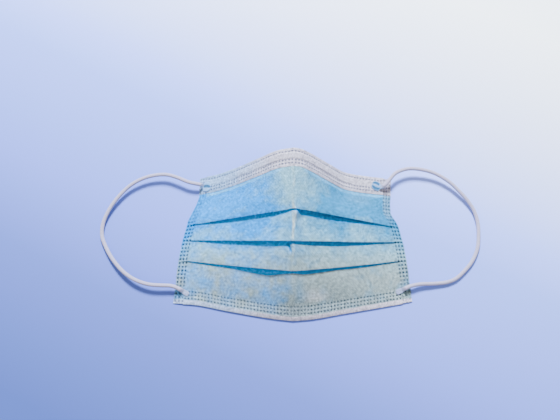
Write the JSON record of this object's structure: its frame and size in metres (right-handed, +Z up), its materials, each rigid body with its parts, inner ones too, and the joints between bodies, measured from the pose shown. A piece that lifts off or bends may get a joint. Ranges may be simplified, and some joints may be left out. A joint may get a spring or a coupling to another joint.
{
  "type": "pleated face mask",
  "caption": "Disposable pleated face mask lying opened, outer face up, with a bent nose band, open pleats, welded side seams and elastic ear loops.",
  "frame": {"origin": "on the table under the middle of the opened mask, ear loops left out", "axes": "+X towards the wearer's left, across the mask; +Y from the chin edge to the nose edge; +Z up from the table, out of the mask's outer face"},
  "size_m": [0.2851, 0.1172, 0.0446],
  "materials": {
    "blue_nonwoven": "matt spunbond nonwoven, sky blue with paler grey clouds",
    "welded_nonwoven": "three plies welded together, three columns of small pressed dots",
    "white_nonwoven": "matt white spunbond nonwoven with rows of pressed dots",
    "coated_wire": "white plastic over a soft steel wire",
    "knitted_elastic": "round knitted elastic, off-white",
    "welded_elastic": "elastic pressed flat and welded to the cloth"
  },
  "bodies": {
    "root": {"face_panel": "blue_nonwoven", "nose_band": "white_nonwoven", "nose_wire": "coated_wire", "chin_hem": "white_nonwoven", "side_seam_left": "welded_nonwoven", "side_seam_right": "welded_nonwoven", "ear_loop_end_nose_left": "welded_elastic", "ear_loop_end_chin_left": "welded_elastic", "ear_loop_end_nose_right": "welded_elastic", "ear_loop_end_chin_right": "welded_elastic", "ear_loop_left": "knitted_elastic", "ear_loop_right": "knitted_elastic"}
  },
  "joints": []
}
